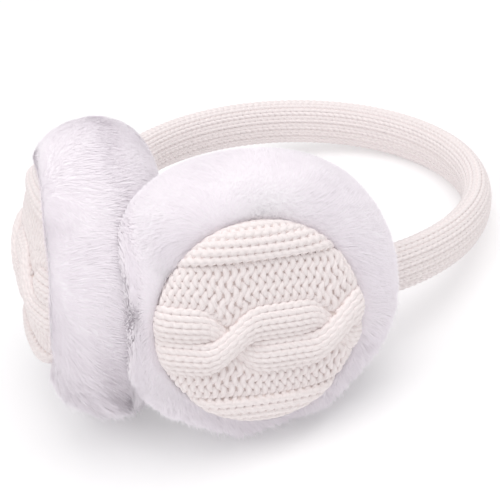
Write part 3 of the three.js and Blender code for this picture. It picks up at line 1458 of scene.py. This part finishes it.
@dataclass(frozen=True)
class Combing:
    """How the pile is stroked: how far over its fibres lie, in shares of their length."""

    away_from_dome: float = 0.6
    less_behind: float = 0.25
    behind: tuple = (24, 47)
    less_loose: float = 0.7
    wander: float = 0.2
    wander_length: float = 31
    swirl: float = 0.3
    swirl_length: float = 27
    hang: float = 0.2
    loose_hang: float = 0.6
    most: float = 0.85


@dataclass(frozen=True)
class Locks:
    """How fibres draw together into locks, in shares of the way to their lock's head."""

    count: int = 420
    seed: int = 3
    pull: float = 0.65
    fibre_pull: tuple = (0.3, 1.3)
    grip: tuple = (0.3, 1.25)
    openness: float = 0.25
    bend_pull: float = 0.15


@dataclass
class PlushPad:
    """Deep-pile pad: a padded backing with fibres gathered loosely into locks."""

    stand: PadStand
    section: PadSection = PadSection()
    under: Coat = Coat(count=44000, width=0.28, length=4.6, depth=0.3, proud=-0.3, stray=0.12, seed=11)
    guard: Coat = Coat(count=32000, width=0.18, length=6.4, depth=0.5, proud=0.2, stray=0.16, seed=12)
    combing: Combing = Combing()
    locks: Locks = Locks()
    contact: PadContact = PadContact()
    contact_reach: tuple = (-1.6, 0.2)
    contact_wander: float = 0.4
    contact_length: float = 14
    spill: float = 0.8
    spill_limit: float = 3
    crest_run: float = 6.5
    ear_pile: float = 0.7
    ear_from: tuple = (50, 64)
    tightest_turn: float = 8
    loose_from: tuple = (-5, 42)
    least_loose: float = 0.15
    least_tousled: float = 0.2
    # Share of the blades' dullness and painted shade kept where the pile is smooth on top.
    least_dull_and_shade: float = 0.06
    swell: float = 0.75
    swell_length: float = 21
    tuft: float = 0.5
    tuft_length: float = 9
    lip: float = 5
    lip_lift: float = 1.2
    steps: tuple = (0, 0.52, 1)
    pile_floor: tuple = (0.05, 0.5)
    backing_depth: tuple = (0.5, 2.6)
    backing_rows: int = 44
    backing_columns: int = 120
    backing_end: float = 0.3
    backing_short: float = 1.2
    backing_floor: tuple = (0.3, 0.5)
    seat_from: float = 0.5
    seat_radius: float = 34.7
    seat_floor: float = 14
    seat_lip: float = 1.5

    def _read(self, over: Array, turn: Array) -> tuple[Array, Array, Array]:
        """Read the pile's outer form.

        Args:
            over: Distance over the pile from the dome's edge.
            turn: Angle round the pad.

        Returns:
            Points, outward directions and directions from the dome's edge onwards.
        """
        run, radius, height = self.section.table()
        columns = (radius, height, np.gradient(radius, run), np.gradient(height, run))
        across, level, slope_across, slope_level = (np.interp(over, run, column) for column in columns)
        reach, crest, tuck = PILE_FORMS[self.stand.side].at(turn)
        front, ear = self.section.front_face, self.section.ear_face
        full, seat, middle = self.section.radius, self.seat_radius, (front + ear) / 2
        share = np.where(level > middle, (across - seat) / (full - seat), across / full)
        grown = across + share * (reach - full)
        held = crest * smooth_step(level, middle, front)
        climb = (over / self.crest_run).clip(0, 1)
        steepness = 6 * climb * (1 - climb)  # the slope of smooth_step
        slope_level = slope_level + held * steepness / self.crest_run
        drawn_in = tuck * (1 - smooth_step(level, ear, middle))
        level = level + held * smooth_step(over, 0, self.crest_run) + drawn_in
        way = np.stack([np.cos(turn), np.sin(turn)], axis=-1)
        points = np.column_stack([grown[:, None] * way, level])
        out = unit(np.column_stack([-slope_level[:, None] * way, slope_across]))
        onward = unit(np.column_stack([slope_across[:, None] * way, slope_level]))
        return points, out, onward

    def _spread(self, count: int, seed: int) -> tuple[Array, Array]:
        """Spread roots evenly over the pile.

        Args:
            count: How many.
            seed: Where round the pad the first one is.

        Returns:
            Distance over the pile and angle of each root.
        """
        run, radius, _ = self.section.table()
        area = np.concatenate([[0], np.cumsum(np.diff(run) * (radius[1:] + radius[:-1]) / 2)])
        number = np.arange(count) + 0.5
        turn = np.mod(number * GOLDEN_SHARE + seed * SEED_TURN, 1) * TAU
        return np.interp(number / count * area[-1], area, run), turn

    def _down(self) -> Array:
        """Give the downward direction in the pad's frame."""
        return self.stand.directions(np.eye(3)) @ -UP

    def _loose(self, points: Array) -> Array:
        """Give how tousled the pile is: smooth on top, where it is stroked, and loose low down."""
        low_down = smooth_step(points @ self._down(), *self.loose_from)
        return self.least_loose + (1 - self.least_loose) * low_down

    def _backed(self, points: Array, over: Array) -> tuple[Array, Array]:
        """Give the depth of the backing under the pile, and the share of it left on the ear side.

        Args:
            points: Points of the pile's outer form.
            over: Their distance over the pile from the dome's edge.

        Returns:
            The depth, and the share that the shorter pile there has.
        """
        ear = 1 - smooth_step(over, *self.ear_from) * (1 - self.ear_pile)
        near, deep = self.backing_depth
        return near + (deep - near) * self._loose(points), ear

    def _lumps(self, points: Array) -> Array:
        """Give how far the pile stands proud of its even form.

        Args:
            points: Points of the pile's outer form.

        Returns:
            The height at each.
        """
        swells = self.swell * ripple(points, self.swell_length, Pattern.SWELLS)
        tufts = self.tuft * ripple(points, self.tuft_length, Pattern.TUFTS)
        return (swells + tufts) * self._loose(points)

    def _lean(self, points: Array, out: Array, onward: Array, over: Array) -> Array:
        """Give how far the fibres lean over, in shares of their length.

        Args:
            points: Where they stand.
            out: Outward directions.
            onward: Directions away from the dome.
            over: Distance over the pile from the dome's edge.

        Returns:
            The lean of each.
        """
        comb = self.combing
        aside = np.cross(out, onward)
        down = self._down()
        droop = down - out * (out @ down)[:, None]
        loose = self._loose(points)
        combed = comb.away_from_dome - comb.less_behind * smooth_step(over, *comb.behind)
        combed = combed * (1 - comb.less_loose * loose)
        wander = comb.wander * ripple(points, comb.wander_length, Pattern.COMB_WANDER)
        swirl = comb.swirl * ripple(points, comb.swirl_length, Pattern.COMB_SWIRL)
        lean = onward * (combed + wander)[:, None] + aside * swirl[:, None]
        lean = lean + droop * (comb.hang + comb.loose_hang * loose)[:, None]
        return lean / np.maximum(np.linalg.norm(lean, axis=1, keepdims=True) / comb.most, 1)

    def _combed(self, over: Array, turn: Array, way: Array, out: Array, onward: Array, lift: Array) -> Array:
        """Comb fibres over the curve of the pile.

        Args:
            over: Distance of each root over the pile.
            turn: Angle of each root round the pad.
            way: How far and which way each fibre lies over.
            out: Outward directions at the roots.
            onward: Directions away from the dome at the roots.
            lift: How far the tips stand off the pile's even form.

        Returns:
            The tips.
        """
        aside = np.cross(out, onward)
        forward = over + np.einsum("ij,ij->i", way, onward)
        around = np.einsum("ij,ij->i", way, aside)
        run, radius, _ = self.section.table()
        side = np.cross(UP, np.column_stack([np.cos(turn), np.sin(turn), 0 * turn]))
        sense = np.sign(np.einsum("ij,ij->i", aside, side))
        turned = turn + sense * around / np.maximum(np.interp(over, run, radius), self.tightest_turn)
        tips, tip_out, tip_onward = self._read(forward.clip(0), turned)
        return tips + tip_onward * forward.clip(None, 0)[:, None] + tip_out * lift[:, None]

    def _fibres(self, coat: Coat) -> tuple[Array, Array]:
        """Grow one coat.

        Args:
            coat: Which coat.

        Returns:
            Points along each fibre and its outward direction, in the pad's frame.
        """
        chance = np.random.default_rng(coat.seed + (LEFT_SEED_STEP if self.stand.mirrored() else 0))
        over, turn = self._spread(coat.count, coat.seed)
        over = over + chance.normal(0, coat.scatter, coat.count)
        turn = turn + chance.normal(0, coat.turn_scatter, coat.count)
        skin, out, onward = self._read(over.clip(0), turn)
        lean = self._lean(skin, out, onward, over)
        backed, ear = self._backed(skin, over)
        lumps, loose = self._lumps(skin), self._loose(skin)[:, None]
        length = (coat.length * ear * chance.uniform(*coat.length_spread, coat.count))[:, None]
        length = length * (1 + coat.loose_growth * loose)
        proud = coat.proud + chance.normal(0, coat.proud_spread, coat.count) * loose[:, 0]
        depth = (backed + coat.depth) * ear
        tips = self._combed(over, turn, lean * length, out, onward, lumps + proud)
        tips = tips + chance.normal(0, coat.stray, (coat.count, 3)) * length * loose
        roots = skin + out * (lumps - depth)[:, None]
        bends = roots + (tips - roots) * coat.bend + out * (depth * coat.bend)[:, None]
        tips, bends = self._gather(skin, tips, bends, chance)
        paths = []
        for share in self.steps:
            near, far = roots + (bends - roots) * share, bends + (tips - bends) * share
            paths.append(near + (far - near) * share)
        beside_dome = 1 - smooth_step(over, 0, self.lip)
        return np.stack(paths, axis=1), unit(out + self.lip_lift * UP * beside_dome[:, None])

    def _gather(
        self, skin: Array, tips: Array, bends: Array, chance: np.random.Generator
    ) -> tuple[Array, Array]:
        """Draw fibres together into locks.

        Args:
            skin: Where each fibre meets the pile's outer form.
            tips: Their tips.
            bends: Their bends.
            chance: The coat's own source of chance.

        Returns:
            The gathered tips and bends.
        """
        locks = self.locks
        over, turn = self._spread(locks.count, locks.seed)
        centres, out, onward = self._read(over, turn)
        lean = self._lean(centres, out, onward, over)
        heads = centres + lean * self.guard.length + out * self._lumps(centres)[:, None]
        tree = KDTree(locks.count)
        for number, centre in enumerate(centres.tolist()):
            tree.insert(centre, number)
        tree.balance()
        nearest = np.array([tree.find(place)[1] for place in skin.tolist()])
        pull = locks.pull * chance.uniform(*locks.fibre_pull, len(skin))
        grip = np.random.default_rng(Pattern.LOCK_GRIP.value).uniform(*locks.grip, locks.count)
        weight = grip[nearest] * pull * self._loose(skin)
        goal = heads[nearest] + (tips - heads[nearest]) * locks.openness
        tips = tips + (goal - tips) * weight[:, None]
        return tips, bends + (goal - tips) * (weight * locks.bend_pull)[:, None]

    def build_coat(self, name: str, coat: Coat, material: bpy.types.Material) -> bpy.types.Object:
        """Grow one coat of fibres as flat tapering blades.

        Args:
            name: The piece's name.
            coat: Which coat.
            material: The fibres' material.

        Returns:
            The coat.
        """
        paths, out = self._fibres(coat)
        chance = np.random.default_rng(coat.seed + BLADE_SEED_STEP)
        band_end = BandEnd(self.stand.lie)
        axes, _ = self.stand.frame()
        loose = self._loose(paths[:, 0])
        fibres = self.stand.to_ring(paths)
        _, buried = band_end.clear(fibres[:, 0])
        fibres, out, loose = fibres[~buried], out[~buried], loose[~buried]
        facing = self.contact.open_up(self.stand, fibres[:, 0], out @ axes.T)
        fibres = self._spilled(fibres, facing, chance)
        blades = self._blades(coat, fibres, facing, loose, chance)
        count, corners = blades.shape[:2]
        clear, _ = band_end.clear(blades.reshape(-1, 3))
        table = self.stand.from_ring_to_table(clear)
        table[:, 2] = soft_floor(table[:, 2], *self.pile_floor)
        # Random dullness for each blade, raised where the pile is loose low down: painted shade, darker
        # towards the bottom of the pad.
        dullness_and_shade = chance.uniform(0, 1, count) * (self.least_dull_and_shade + (1 - self.least_dull_and_shade) * loose)
        ruffle = chance.normal(0, coat.shade_ruffle, (count, 3))
        shade = self.stand.directions(unit(facing @ axes + ruffle))
        mesher = Mesher()
        mesher.add(table, *self._blade_faces(dullness_and_shade))
        mesher.normals.append(np.repeat(shade, corners, axis=0))
        return mesher.finish(name, material, self.stand.mirrored())

    def _spilled(self, fibres: Array, facing: Array, chance: np.random.Generator) -> Array:
        """Press fibres back where the pads meet, so that they spill out of the contact.

        Args:
            fibres: Points along each fibre, in the ring's frame.
            facing: Which way each fibre's surroundings face.
            chance: The blades' own source of chance.

        Returns:
            The pressed points.
        """
        count, joints = fibres.shape[:2]
        short = chance.uniform(*self.contact_reach, count)
        short = short + self.contact_wander * ripple(fibres[:, 0], self.contact_length, Pattern.CONTACT)
        points = fibres.reshape(-1, 3)
        pressed = self.contact.press(self.stand, points, np.repeat(short, joints))
        moved = np.linalg.norm(pressed - points, axis=1, keepdims=True).clip(0, self.spill_limit)
        spilled = pressed + np.repeat(facing, joints, axis=0) * moved * self.spill
        return spilled.reshape(fibres.shape)

    def _blades(
        self, coat: Coat, fibres: Array, facing: Array, loose: Array, chance: np.random.Generator
    ) -> Array:
        """Widen fibres into blades that taper to a point and lie flat to the pile.

        Args:
            coat: Which coat.
            fibres: Points along each fibre.
            facing: Which way each fibre's surroundings face.
            loose: How tousled the pile is round each.
            chance: The blades' own source of chance.

        Returns:
            The points of each blade: two at every joint and one at the tip.
        """
        count = len(fibres)
        ahead = unit(fibres[:, -1] - fibres[:, 0])
        tousled = self.least_tousled + (1 - self.least_tousled) * loose[:, None]
        flat = unit(np.cross(ahead, facing + chance.normal(0, coat.ruffle, (count, 3)) * tousled))
        twist = chance.uniform(-coat.twist, coat.twist, count)[:, None] * tousled
        broad = flat * np.cos(twist) + np.cross(ahead, flat) * np.sin(twist)
        turned_away = np.einsum("ij,ij->i", np.cross(broad, ahead), facing) < 0
        broad = broad * np.where(turned_away, -1.0, 1.0)[:, None]
        half = broad[:, None] * (coat.width / 2 * np.array(coat.taper))[None, :, None]
        sides = np.stack([fibres[:, :-1] - half, fibres[:, :-1] + half], axis=2)
        return np.concatenate([sides.reshape(count, -1, 3), fibres[:, -1:]], axis=1)

    def _blade_faces(self, dullness_and_shade: Array) -> tuple[list[Array], dict[str, list[Array]]]:
        """Number the faces of the blades and lay them out.

        Args:
            dullness_and_shade: How dull each blade is, with painted shade where the pile is loose low down.

        Returns:
            The faces and the layouts, as a mesher takes them.
        """
        count, joints = len(dullness_and_shade), len(self.steps)
        size = 2 * joints - 1
        first = np.arange(count)[:, None] * size
        corners = np.arange(joints - 2)[:, None] * 2 + np.array([0, 1, 3, 2])
        faces = [(first[:, None] + corners).reshape(-1, 4), first + np.arange(size - 3, size)]
        spans = zip(self.steps[:-2], self.steps[1:-1])
        quads = np.array([[(0, low), (1, low), (1, high), (0, high)] for low, high in spans])
        tips = np.array([[(0, self.steps[-2]), (1, self.steps[-2]), (0.5, 1)]])
        columns = math.ceil(math.sqrt(count * BLADE_CELL_SHAPE))
        rows = math.ceil(count / columns)
        cells = np.stack([np.arange(count) % columns / columns, np.arange(count) // columns / rows], axis=-1)
        filled = np.array(BLADE_FILL) / np.array([columns, rows])
        layouts: dict[str, list[Array]] = {PILE_LAYOUT: [], BAKE_LAYOUT: []}
        for places in (quads, tips):
            baked = cells[:, None, None] + places * filled
            carried = np.broadcast_to(places, baked.shape).copy()
            carried[..., 0] = dullness_and_shade[:, None, None]
            layouts[PILE_LAYOUT].append(carried.reshape(-1, *places.shape[1:]))
            layouts[BAKE_LAYOUT].append(baked.reshape(-1, *places.shape[1:]))
        return faces, layouts

    def build_backing(self, name: str, material: bpy.types.Material) -> bpy.types.Object:
        """Build the padded backing that the pile grows from, with the dome's seat in its face.

        Args:
            name: The piece's name.
            material: Its material.

        Returns:
            The backing.
        """
        rows, columns = self.backing_rows, self.backing_columns
        run = self.section.table()[0]
        over = np.repeat(np.linspace(0, run[-1] - self.backing_end, rows), columns)
        turn = np.arange(columns) / columns * TAU
        skin, out, _ = self._read(over, np.tile(turn, rows))
        backed, ear = self._backed(skin, over)
        body = skin + out * (self._lumps(skin) - backed * ear)[:, None]
        ring = np.stack([np.cos(turn), np.sin(turn)], axis=-1)
        seat = [np.column_stack([ring * radius, np.full(columns, height)]) for radius, height in self._seat()]
        points = self.stand.to_ring(np.concatenate([*seat, body]))
        pressed = self.contact.press(self.stand, points, np.full(len(points), self.backing_short))
        table = self.stand.from_ring_to_table(pressed)
        table[:, 2] = soft_floor(table[:, 2], *self.backing_floor)
        mesher = Mesher()
        mesher.add(table, skin_faces(rows + len(seat), columns, turned=True), {})
        return mesher.finish(name, material, self.stand.mirrored())

    def _seat(self) -> list[tuple[float, float]]:
        """Give the seat's section: radius and height from its middle to the top of its wall.

        Returns:
            Its corners.
        """
        top = self.section.front_face - self.backing_depth[1] - self.seat_lip
        floor, wall = self.seat_floor, self.seat_radius
        return [(self.seat_from, floor), (wall, floor), (wall, top)]


# ---- studio ----


@dataclass(frozen=True)
class Lamp:
    """One soft lamp: where it stands, how large and how strong it is."""

    name: str
    place: tuple[float, float, float]
    size: float
    watts: float
    color: tuple[float, float, float]


@dataclass
class Studio:
    """Pale floor, soft light and the camera. Lamps stand in metres, the camera in millimetres."""

    lie: Lie
    azimuth: float = math.radians(30.344)
    elevation: float = math.radians(25.754)
    lean: float = math.radians(-0.917)
    distance: float = 612.1
    crown_to_target: float = 88
    lens: float = 119.03
    sensor: float = 36
    shift: tuple = (-0.03726, -0.07884)
    clip: tuple = (0.05, 20)
    world: float = 0.63
    world_color: tuple = (1.0, 0.99, 1.0, 1)
    floor_half: float = 3000
    aim: tuple = (0, 0, 0.05)
    lamps: tuple = (
        Lamp("top", place=(0.3, 0.1, 1.2), size=1.1, watts=6.0, color=(1.0, 0.99, 0.99)),
        Lamp("key", place=(-0.3, -0.62, 0.95), size=0.8, watts=2.7, color=(1.0, 0.99, 0.99)),
    )

    def build_camera(self) -> None:
        """Set the camera up at the viewing angle, worked out in the headband's own frame."""
        a, e, r = self.azimuth, self.elevation, self.lean
        level = np.array([math.cos(a), math.sin(a), 0])
        rise = np.array([-math.sin(a) * math.sin(e), math.cos(a) * math.sin(e), math.cos(e)])
        back = np.array([math.sin(a) * math.cos(e), -math.cos(a) * math.cos(e), math.sin(e)])
        right = math.cos(r) * level + math.sin(r) * rise
        up = math.cos(r) * rise - math.sin(r) * level
        axes = self.lie.turn() @ np.stack([right, up, back], axis=-1)
        target = np.array([0, -self.crown_to_target, 0])
        place = self.lie.place((target + back * self.distance)[None])[0]
        data = bpy.data.cameras.new("camera")
        data.lens = self.lens
        data.sensor_width = self.sensor
        data.shift_x, data.shift_y = self.shift
        data.clip_start, data.clip_end = self.clip
        camera = bpy.data.objects.new("camera", data)
        camera.matrix_world = Matrix.Translation(Vector(place * MM)) @ Matrix(axes.tolist()).to_4x4()
        bpy.context.scene.collection.objects.link(camera)
        bpy.context.scene.camera = camera

    def build_light(self) -> None:
        """Fill the room with pale light and hang the soft lamps."""
        world = bpy.data.worlds.new("studio")
        world.use_nodes = True
        background = world.node_tree.nodes["Background"]
        background.inputs["Color"].default_value = self.world_color
        background.inputs["Strength"].default_value = self.world
        scene = bpy.context.scene
        scene.world = world
        scene.view_settings.view_transform = "Standard"
        for lamp in self.lamps:
            data = bpy.data.lights.new(lamp.name, "AREA")
            data.shape = "DISK"
            data.size, data.energy, data.color = lamp.size, lamp.watts, lamp.color
            light = bpy.data.objects.new(lamp.name, data)
            light.location = lamp.place
            towards = Vector(self.aim) - Vector(lamp.place)
            light.rotation_euler = towards.to_track_quat("-Z", "Y").to_euler()
            scene.collection.objects.link(light)

    def build_floor(self, material: bpy.types.Material) -> None:
        """Lay the floor, which isn't part of the object.

        Args:
            material: Its material.
        """
        mesher = Mesher()
        corners = np.array([[-1, -1, 0], [1, -1, 0], [1, 1, 0], [-1, 1, 0]]) * self.floor_half
        mesher.add(corners, [np.array([[0, 1, 2, 3]])], {})
        mesher.finish("studio_floor", material, mirrored=False)


def settle(piece: bpy.types.Object, slot: str, *nodes: str, fill: float = 0.0) -> None:
    """Attach a finished piece to the body, hide the CAD nodes that it stands for and report it.

    Args:
        piece: The piece.
        slot: Not used.
        nodes: CAD nodes that it stands for.
        fill: Not used.
    """
    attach(piece, BODY)
    if nodes:
        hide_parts(*nodes)
    LOG.info("%s: %d faces", piece.name, len(piece.data.polygons))


def main() -> None:
    """Build the studio, the headband and both pads in order."""
    logging.basicConfig(level=logging.INFO, format="%(name)s: %(message)s")
    lie = Lie(BandLine(), width=18.8, thickness=11.6)
    studio = Studio(lie)
    studio.build_camera()
    studio.build_light()
    studio.build_floor(FloorFinish().material())

    band_yarn = YarnFinish("band_yarn", ply_pitch=2.4).material()
    cable_yarn = YarnFinish("cable_yarn").material()
    # Filling under the knit, coloured darker than the yarn: painted shade in the gaps between the loops.
    shaded_wadding = FeltFinish("shaded_wadding", (0.88, 0.79, 0.76, 1), (0.82, 0.72, 0.68, 1)).material()
    backing = FeltFinish("pile_backing", (0.97, 0.94, 0.965, 1), (0.93, 0.90, 0.93, 1)).material()
    pile = PileFinish("plush_fibre").material()

    headband = Headband(lie)
    settle(headband.build_core("headband_core", shaded_wadding), "band_knit", fill=0.9)
    for side in Side:
        cover = headband.build_cover(f"headband_knit_{side.word}", side, band_yarn)
        settle(cover, "band_knit", "headband")
    for side in Side:
        stand, word = PadStand(lie, side), side.word
        dome, pad = KnitDome(stand), PlushPad(stand)
        settle(dome.build_filling(f"dome_filling_{word}", shaded_wadding), "cable_knit", fill=0.8)
        settle(dome.build_cover(f"dome_knit_{word}", cable_yarn), "cable_knit", f"knit_dome_{word}")
        cushion = pad.build_backing(f"pad_backing_{word}", backing)
        settle(cushion, "plush_pile", f"plush_pad_{word}", fill=0.7)
        settle(pad.build_coat(f"pad_undercoat_{word}", pad.under, pile), "plush_pile")
        settle(pad.build_coat(f"pad_guard_coat_{word}", pad.guard, pile), "plush_pile")


if __name__ == "__main__":
    main()
